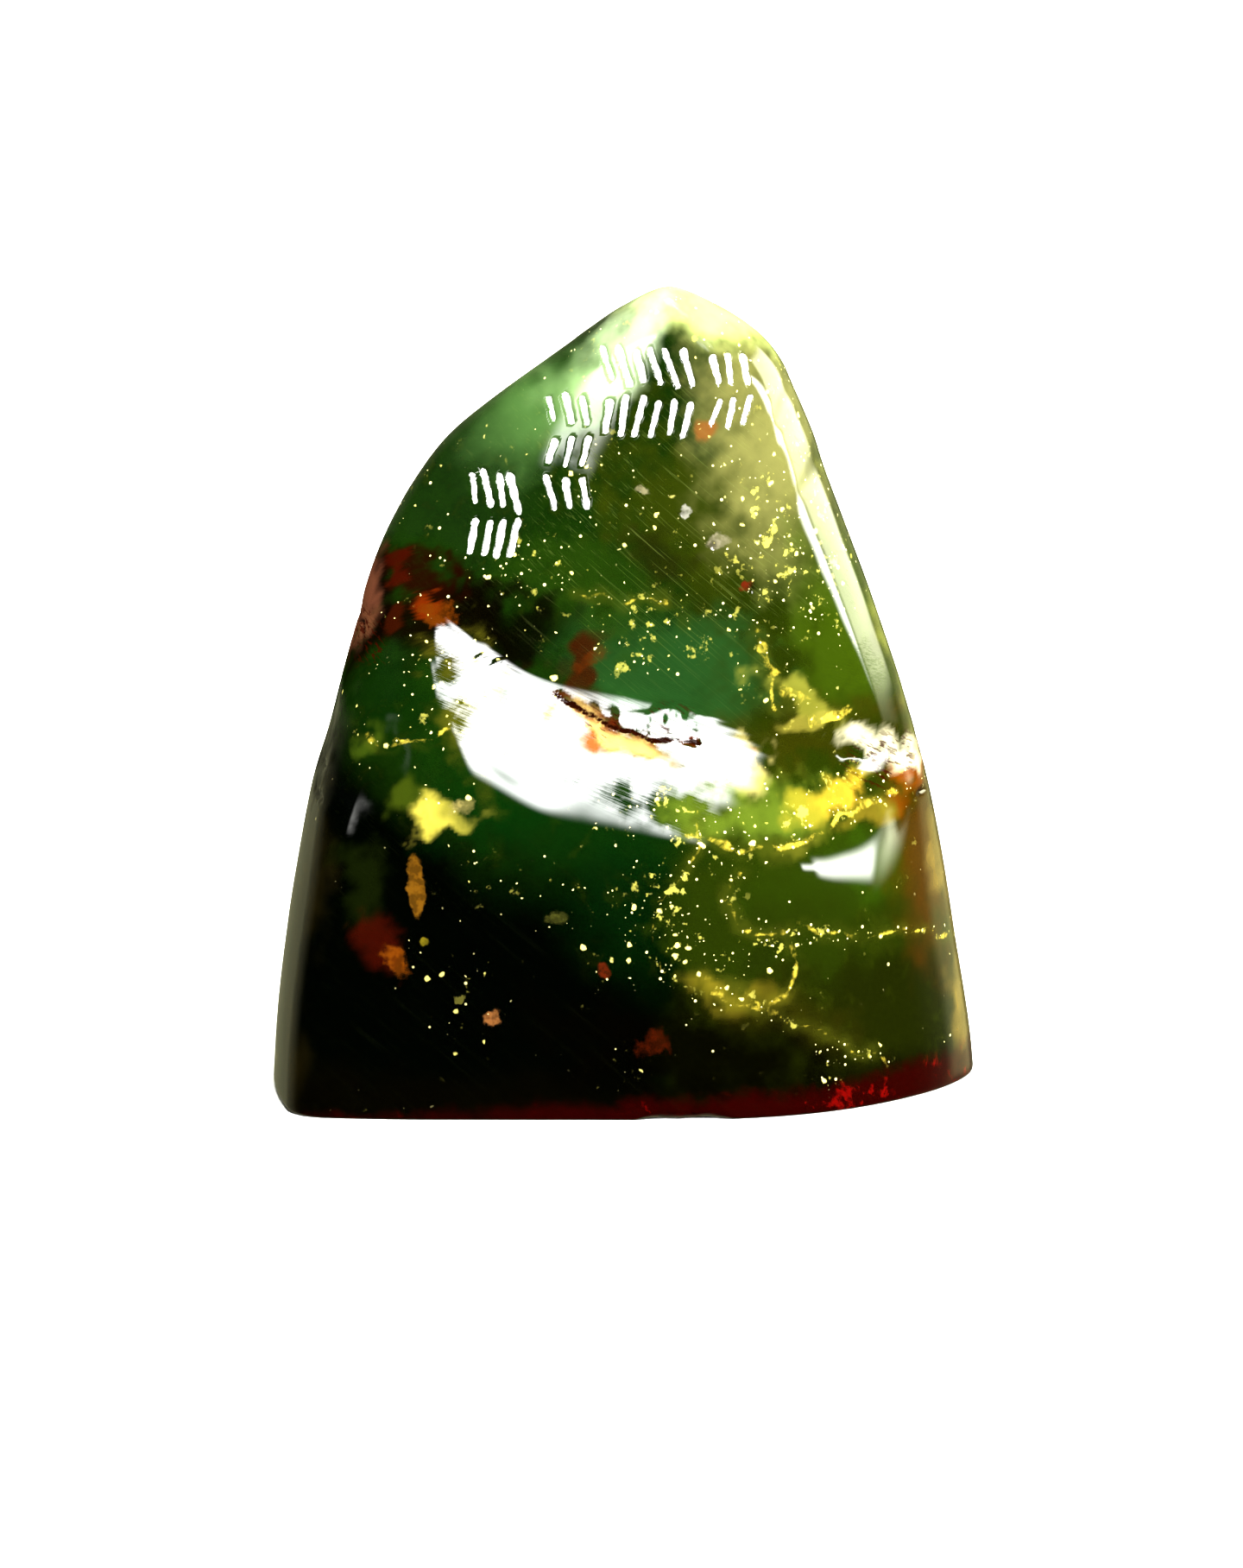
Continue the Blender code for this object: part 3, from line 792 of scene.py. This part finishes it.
def stone_mesh(name):
    rows, peak = skin_rows()
    points = np.vstack([rows.reshape(-1, 3), peak[None]])
    normals = skin_normals(points)
    normals[: COLUMNS * len(FOOT_ROWS)] *= (1, 1, 0)  # the foot is sunk level, so the underside stays flat
    sunk, marks = relief(points)
    points -= normals * sunk[:, None]
    points[:COLUMNS, 2] = 0.0
    low, high = (np.array(corner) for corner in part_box("seal_stone"))
    found_low, found_high = points.min(0), points.max(0)
    points = low + (points - found_low) * (high - low) / (found_high - found_low)
    count = len(rows)
    last = len(points) - 1
    column = np.arange(COLUMNS)
    beside = np.roll(column, -1)
    faces = []
    for row in range(count - 1):
        base, above = row * COLUMNS, (row + 1) * COLUMNS
        faces.extend(np.stack([base + column, base + beside, above + beside, above + column], -1).tolist())
    top = (count - 1) * COLUMNS
    faces.extend([[top + a, top + b, last] for a, b in zip(column.tolist(), beside.tolist())])
    faces.append(list(range(COLUMNS))[::-1])
    mesh = bpy.data.meshes.new(name)
    mesh.from_pydata(points.tolist(), [], faces)
    mesh.shade_smooth()
    mesh.polygons[len(faces) - 1].use_smooth = False
    for mark, values in marks.items():
        kind, field = ("FLOAT_COLOR", "color") if values.ndim == 2 else ("FLOAT", "value")
        mesh.attributes.new(mark, kind, "POINT").data.foreach_set(field, values.astype(np.float32).ravel())
    return mesh


SHIFT_WAY = (1.0, 0.7, -0.4)  # the way a noise's place is shifted, so that no two noises are alike


class Wire:
    """One output of a node. Python's own signs on it add Math nodes, and node() adds any other node."""

    def __init__(self, tree, output=None):
        self.tree, self.output = tree, output

    def node(self, kind, settings=None, values=None, out=0):
        made = self.tree.nodes.new(kind)
        for name, value in (settings or {}).items():
            setattr(made, name, value)
        for name, value in (values or {}).items():
            if isinstance(value, Wire):
                self.tree.links.new(value.output, made.inputs[name])
            else:
                made.inputs[name].default_value = value
        return Wire(self.tree, made.outputs[out])

    def math(self, operation, *values):
        return self.node("ShaderNodeMath", {"operation": operation}, dict(enumerate(values)))

    def vector(self, operation, *values, out=0):
        return self.node("ShaderNodeVectorMath", {"operation": operation}, dict(enumerate(values)), out)

    def __add__(self, other):
        return self.math("ADD", self, other)

    def __sub__(self, other):
        return self.math("SUBTRACT", self, other)

    def __rsub__(self, other):
        return self.math("SUBTRACT", other, self)

    def __mul__(self, other):
        return self.math("MULTIPLY", self, other)

    def __or__(self, other):
        return self.math("MAXIMUM", self, other)

    __radd__, __rmul__ = __add__, __mul__

    def step(self, low, high):
        """0 at low and 1 at high, with a soft turn at both."""
        ends = {"Value": self, "From Min": low, "From Max": high}
        return self.node("ShaderNodeMapRange", {"interpolation_type": "SMOOTHSTEP"}, ends)

    def noise(self, size, layers=2.0, gain=0.55, shift=0.0, out=0):
        """Cloudy noise about 0.5 on this vector, with lumps of a size in millimetres."""
        moved = self.vector("ADD", self, tuple(shift * share for share in SHIFT_WAY)) if shift else self
        values = {"Vector": moved, "Scale": 1 / size, "Detail": layers, "Roughness": gain}
        return self.node("ShaderNodeTexNoise", {}, values, out)

    def swing(self, reach):
        """Noise about 0.5 turned into noise about 0, as wide as the reach."""
        return (self - 0.5) * reach

    def lay(self, share, under, over):
        """A share of one colour laid over another."""
        return self.node("ShaderNodeMix", {"data_type": "RGBA"}, {0: share, 6: under, 7: over}, 2)

    def over(self, share, colour):
        return self.lay(share, self, colour)


# Small spots with sharp edges, given as the clouds are.
SPOTS = [
    (-10.6, 28.0, 0.9, 0.6, 12, 1.6, 0.35, 0.9, tone(150, 78, 12)),
    (-1.9, 25.5, 1.0, 0.4, -34, 0.9, 0.4, 0.6, tone(150, 70, 12)),
    (-9.2, 17.9, 0.6, 0.4, -20, 1.2, 0.4, 0.8, tone(250, 230, 150)),
    (-13.0, 9.2, 0.8, 0.55, 50, 1.2, 0.4, 0.95, tone(188, 104, 20)),
    (-11.75, 13.4, 0.50, 1.75, -4, 0.35, 0.15, 1.0, tone(186, 130, 38)),
    (-11.3, 10.3, 0.24, 0.24, 0, 0.5, 0.3, 0.9, tone(196, 176, 50)),
    (-7.5, 5.8, 0.45, 0.4, 0, 1.4, 0.3, 0.9, tone(220, 150, 90)),
    (1.6, 4.4, 0.9, 0.6, -20, 1.7, 0.4, 0.85, tone(116, 40, 8)),
    (-1.1, 8.6, 0.3, 0.42, -30, 0.7, 0.3, 0.9, tone(150, 60, 24)),
    (-3.8, 11.6, 0.5, 0.28, 0, 1.0, 0.4, 0.8, tone(130, 130, 60)),
    (6.9, 29.6, 0.34, 0.24, -20, 0.9, 0.4, 0.9, tone(170, 56, 30)),
    (5.3, 32.2, 0.62, 0.40, -30, 1.1, 0.3, 0.9, tone(236, 226, 196)),
    (3.5, 33.9, 0.30, 0.34, 0, 0.9, 0.2, 1.0, tone(250, 248, 236)),
    (1.0, 35.1, 0.40, 0.20, 20, 0.9, 0.3, 0.9, tone(232, 222, 180)),
]


SPOT_DEPTH = 1000  # millimetres through the stone, so that a spot's depth plays no part


def spot(where, ragged_by, x, z, half_width, half_height, hang, ragged, soft):
    """A ragged spot on the front, 1 inside it."""
    sizes = (half_width, SPOT_DEPTH, half_height)
    place = {"Location": (x, 0, z), "Rotation": (0, math.radians(hang), 0), "Scale": sizes}
    local = where.node("ShaderNodeMapping", {"vector_type": "TEXTURE"}, {"Vector": where, **place})
    away = where.vector("LENGTH", local, out=1) + ragged_by.swing(2 * ragged)
    return away.step(1 + soft, 1 - soft)


LEAST_GRAIN, GRAIN_EDGE, GRAIN_FADE = 0.4, 0.10, 0.04  # shares of the cell and of the chance


def flecks(where, size, reach, share_kept):
    """Grains scattered in the stone, one to a cell of a size, kept in a share of the cells."""
    cell = {"Vector": where, "Scale": 1 / size}
    away = where.node("ShaderNodeTexVoronoi", {}, cell)
    own = where.node("ShaderNodeTexVoronoi", {}, cell, 1)
    chance = where.node("ShaderNodeSeparateColor", {}, {"Color": own})
    width = where.node("ShaderNodeSeparateColor", {}, {"Color": own}, 1) * reach + LEAST_GRAIN * reach
    return (width - away).step(0.0, GRAIN_EDGE) * (share_kept - chance).step(0.0, GRAIN_FADE)


STREAK_DEPTH = 4  # how many times as deep as it is wide a streak runs into the stone


def drawn(where, along, across, angle, shift):
    """Noise drawn out into streaks along a direction that hangs by an angle on the front."""
    place = {"Rotation": (0, math.radians(angle), 0), "Scale": (along, across * STREAK_DEPTH, across)}
    local = where.node("ShaderNodeMapping", {"vector_type": "TEXTURE"}, {"Vector": where, **place})
    return local.noise(1.0, 3.0, 0.6, shift)


TO_MILLIMETRES = (1000, 1000, 1000)
POLISHED = 0.14  # the roughness under the polish
POLISH = {"Specular IOR Level": 0.0, "IOR": 1.5, "Coat IOR": 1.5, "Coat Roughness": 0.04}
BUMP_HEIGHT = 0.00006


def stone_finish():
    """The stone's colours in layers, one over another, and its polish.

    A step turns a place in millimetres or a noise into a share, and the number after it is the layer's
    strength. A noise is given by the size of its lumps, its layers, their gain and where it is read.
    """
    material = bpy.data.materials.new("polished_green_stone")
    material.use_nodes = True
    tree = material.node_tree
    shader = tree.nodes["Principled BSDF"]
    start = Wire(tree)
    place = start.node("ShaderNodeTexCoord", out=3)
    where = place.vector("MULTIPLY", place, TO_MILLIMETRES)
    names = ("cut", "vein", "crack", "rough", "hollow_stain_and_shade", "crowd", "scratched", "brushed", "dull")
    marks = {name: start.node("ShaderNodeAttribute", {"attribute_name": name}, {}, 2) for name in names}
    cloud_and_painted_light, cover = (start.node("ShaderNodeAttribute", {"attribute_name": "cloud_and_painted_light"}, {}, out) for out in (0, 3))
    broad = where.noise(3.0, 3.0, 0.55, 5.0, out=1)
    fine = where.noise(0.55, 2.0, 0.6, 9.0, out=1)
    wander = where.vector("MULTIPLY_ADD", broad, (3.0, 3.0, 3.0), (-1.5, -1.5, -1.5))
    bent = where.vector("ADD", where, wander)
    jitter = where.vector("MULTIPLY_ADD", fine, (0.45, 0.45, 0.45), (-0.22, -0.22, -0.22))
    shaken = where.vector("ADD", where, jitter)
    across, deep, up = (where.node("ShaderNodeSeparateXYZ", {}, {0: where}, out) for out in range(3))
    cloudy = bent.noise(5.0, 4.0, 0.55, 2.0)
    mottled = bent.noise(1.5, 4.0, 0.6, 7.0)
    ragged = where.noise(0.9, 4.0, 0.62, 3.0)
    lumpy = start.node("ShaderNodeSeparateXYZ", {}, {0: fine})
    broken = lumpy.step(0.38, 0.60) * 0.5 + 0.5
    front = deep.step(*(end / MM for end in FRONT_ENDS))

    # the ground colour: deep green on the left, olive on the right, near black low on the left
    stone = start.lay(mottled.step(0.42, 0.62) * 0.35, DEEP_GREEN, FOREST)
    stone = stone.over((up + cloudy * 6).step(22, 14) * 0.9, FOREST)
    to_right = (across + cloudy.swing(7) - 0.06 * up).step(1.2, 3.4)
    stone = stone.over(to_right, OLIVE)
    stone = stone.over(to_right * (up + cloudy.swing(8)).step(10.5, 6.0) * 0.75, DARK_OLIVE)
    stone = stone.over(mottled.step(0.54, 0.70) * 0.30, BARK)
    low_left = (up + across * 0.75 + cloudy.swing(6)).step(12.5, 6.0) * (1 - to_right)
    stone = stone.over(low_left, NIGHT_GREEN)
    stone = stone.over((up + cloudy.swing(4)).step(3.4, 1.2) * 0.7, tone(14, 10, 2))
    # the clouds go on here, among them painted highlights, sheen and glow laid in as colour
    stone = stone.over(cover, BLACK)
    stone = stone.vector("ADD", stone, cloud_and_painted_light)
    for *shape, share, colour in SPOTS:
        stone = stone.over(spot(shaken, ragged, *shape) * front * broken * share, colour)

    # light veins, the broken edge along the crack, pits and cracks darkened by red-brown stain and painted
    # shade, and the red paste low down
    vein = marks["vein"] + ragged.swing(0.7)
    stone = stone.over(vein.step(0.7, -0.1) * cloudy.step(0.40, 0.60) * 0.24, PALE_OLIVE)
    stone = stone.over(marks["crack"].step(0.55, 0.1) * ragged.step(0.4, 0.6) * 0.8, tone(150, 52, 16))
    # the hollows take the red-brown stain that the real cracks and pits hold, deepened with their depth as
    # painted shade
    stone = stone.over(marks["hollow_stain_and_shade"] * 0.7, tone(30, 8, 2))
    split = (marks["crack"] + ragged.swing(0.35) + lumpy.swing(0.25)).step(0.15, 0.06)
    stone = stone.over(split, tone(60, 18, 2))
    crinkle = drawn(where, 1.3, 0.20, 33, 3.0)
    stone = stone.over(marks["rough"] * crinkle.step(0.54, 0.60) * 0.85, tone(90, 24, 4))
    paste = (up - 0.055 * across + ragged.swing(1.5) + cloudy.swing(1.6)).step(1.5, 0.3)
    stone = stone.over(paste * 0.92, PASTE_DARK)
    stone = stone.over(paste * (mottled + ragged.swing(0.5)).step(0.60, 0.72) * 0.8, PASTE_BRIGHT)
    stone = stone.vector("MULTIPLY", stone, BODY_SHADE)

    # pale grains that lie in the skin itself and crowd in places, and the white paint in the cuts
    clean = (1 - (paste | marks["hollow_stain_and_shade"])) * (0.45 + 0.55 * (up + across * 0.8).step(-4, 16))
    stone = stone.over(vein.step(0.04, -0.12) * mottled.step(0.42, 0.60) * clean * 0.6, GOLD)
    crowd = (cloudy.step(0.46, 0.68) * 0.35) | marks["crowd"] | (vein.step(0.8, 0.0) * 0.7)
    clotted = (mottled * 0.6 + lumpy * 0.5 + ragged.swing(0.7) + crowd * 0.10).step(0.74, 0.82)
    stone = stone.over(clotted * crowd * clean * 0.5, HONEY)
    grains = flecks(shaken, 0.80, 0.19, crowd * 0.85 + 0.02)
    dots = flecks(where, 0.50, 0.18, crowd * 0.50 + 0.02)
    specks = flecks(shaken, 0.32, 0.20, crowd * 0.40 + 0.01)
    stone = stone.over(grains * clean * 0.9, GRAIN_GOLD)
    stone = stone.over((dots | specks) * clean * 0.9, CREAM)
    painted = (marks["cut"] + where.noise(0.12, 2.0, 0.6, 4.0).swing(0.10)).step(0.0, -0.05)

    # scratches: fine ones across the upper face, and brushed streaks along the ledge
    scratches = drawn(where, 9.0, 0.10, 41, 1.0).step(0.57, 0.68) * (marks["scratched"] * 0.96 + 0.03)
    streaks = drawn(where, 3.2, 0.07, 22, 6.0)
    brushed = marks["brushed"] * streaks.step(0.40, 0.62)
    stone = stone.over(scratches * 0.15, tone(120, 132, 70))
    worn = (scratches + brushed) * 0.30 + marks["rough"] * 0.12
    roughness = POLISHED + worn + (marks["hollow_stain_and_shade"] + marks["dull"] + painted) * 0.4
    height = scratches * -0.5 + marks["brushed"] * streaks * -1.6 + marks["rough"] * crinkle * -5.0
    bump = {"Strength": 0.35, "Distance": BUMP_HEIGHT, "Height": height}
    gloss = 1 - scratches * 0.5 - brushed * 0.45 - painted - marks["dull"] - split * 0.9
    driven = {
        "Base Color": stone.over(painted, PAINT),
        "Roughness": roughness,
        "Coat Weight": gloss,
        "Normal": start.node("ShaderNodeBump", {}, bump),
    }
    for socket, wire in driven.items():
        tree.links.new(wire.output, shader.inputs[socket])
    for socket, value in POLISH.items():
        shader.inputs[socket].default_value = value
    return material


def seal_stone():
    mesh = stone_mesh("seal_stone_skin")
    mesh.materials.append(stone_finish())
    stone = bpy.data.objects.new("seal_stone_skin", mesh)
    bpy.context.scene.collection.objects.link(stone)
    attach(stone, "root")
    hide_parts("seal_stone")


seal_stone()

# The floor is a plain pale sheet. The room is dark on the camera's side and white behind the stone, with
# large soft boxes high in front, low on the right and on the left. Each box is given by how far it reaches to
# the left and right and low and high, in degrees seen from the stone, with 0 on the camera's side. Then come
# how soft its edge is, how far it hangs for each degree to the right, its light and its share of blue.
FLOOR_HALF = 3.0
FLOOR_TONE = (0.8, 0.8, 0.8, 1)
ROOM_DARK, ROOM_WHITE, ROOM_BLUE = 0.005, 0.28, 0.6
ROOM_TURN = (0.05, 0.6)  # how far behind the stone the room starts to lighten and is at its lightest
SOFT_BOXES = [
    (8, 22, 27, 60, 4, 0, 38.0, 1.0),
    (22, 34, 34, 100, 4, 0, 38.0, 1.0),
    (34, 46, 42, 100, 4, 0, 38.0, 1.0),
    (46, 57, 46, 100, 3, 0, 38.0, 1.0),
    (-200, 200, 77, 100, 3, 0, 34.0, 0.9),
    (-53, -36, 14.5, 21, 3, 0, 17.0, 0.95),
    (68, 88, 12.0, 16.8, 1.8, 0.37, 32.0, 0.95),
    (62, 70, 15.0, 16.6, 1.0, 0.20, 32.0, 0.95),
    (90, 122, 4, 26, 3, 0, 14.0, 0.72),
    (122, 150, -12, 14, 5, 0, 0.8, 0.5),
    (-100, -50, 16, 60, 14, 0, 0.08, 1.0),
]


def floor():
    mesh = bpy.data.meshes.new("floor")
    corners = [(-1, -1), (1, -1), (1, 1), (-1, 1)]
    mesh.from_pydata([(x * FLOOR_HALF, y * FLOOR_HALF, 0.0) for x, y in corners], [], [(0, 1, 2, 3)])
    material = bpy.data.materials.new("pale_floor")
    material.use_nodes = True
    shader = material.node_tree.nodes["Principled BSDF"]
    shader.inputs["Base Color"].default_value = FLOOR_TONE
    shader.inputs["Roughness"].default_value = 1.0
    shader.inputs["Specular IOR Level"].default_value = 0.0
    mesh.materials.append(material)
    thing = bpy.data.objects.new("floor", mesh)
    bpy.context.scene.collection.objects.link(thing)
    thing.visible_glossy = False


def room():
    world = bpy.data.worlds.new("studio")
    world.use_nodes = True
    sky = Wire(world.node_tree)
    seen = sky.node("ShaderNodeTexCoord")
    x, y, z = (sky.node("ShaderNodeSeparateXYZ", {}, {0: seen}, out) for out in range(3))
    compass = sky.math("ARCTAN2", x, y * -1) * math.degrees(1)
    rise = sky.math("ARCSINE", z) * math.degrees(1)
    behind = y.step(*ROOM_TURN)
    light = behind * ROOM_WHITE + ROOM_DARK
    blue = behind * (ROOM_WHITE * ROOM_BLUE) + ROOM_DARK
    for left, right, low, high, edge, hang, glow, cool in SOFT_BOXES:
        inside = compass.step(left - edge, left + edge) * compass.step(right + edge, right - edge)
        level = rise + (compass - left) * hang if hang else rise
        inside = inside * level.step(low - edge, low + edge) * level.step(high + edge, high - edge)
        light = light + inside * glow
        blue = blue + inside * (glow * cool)
    colour = sky.node("ShaderNodeCombineXYZ", {}, {0: light, 1: light, 2: blue})
    world.node_tree.links.new(colour.output, world.node_tree.nodes["Background"].inputs["Color"])
    bpy.context.scene.world = world


floor()
room()
VIEW_GAMMA = 0.85  # a little hard, as the photograph is
bpy.context.scene.view_settings.view_transform = "Standard"
bpy.context.scene.view_settings.gamma = VIEW_GAMMA
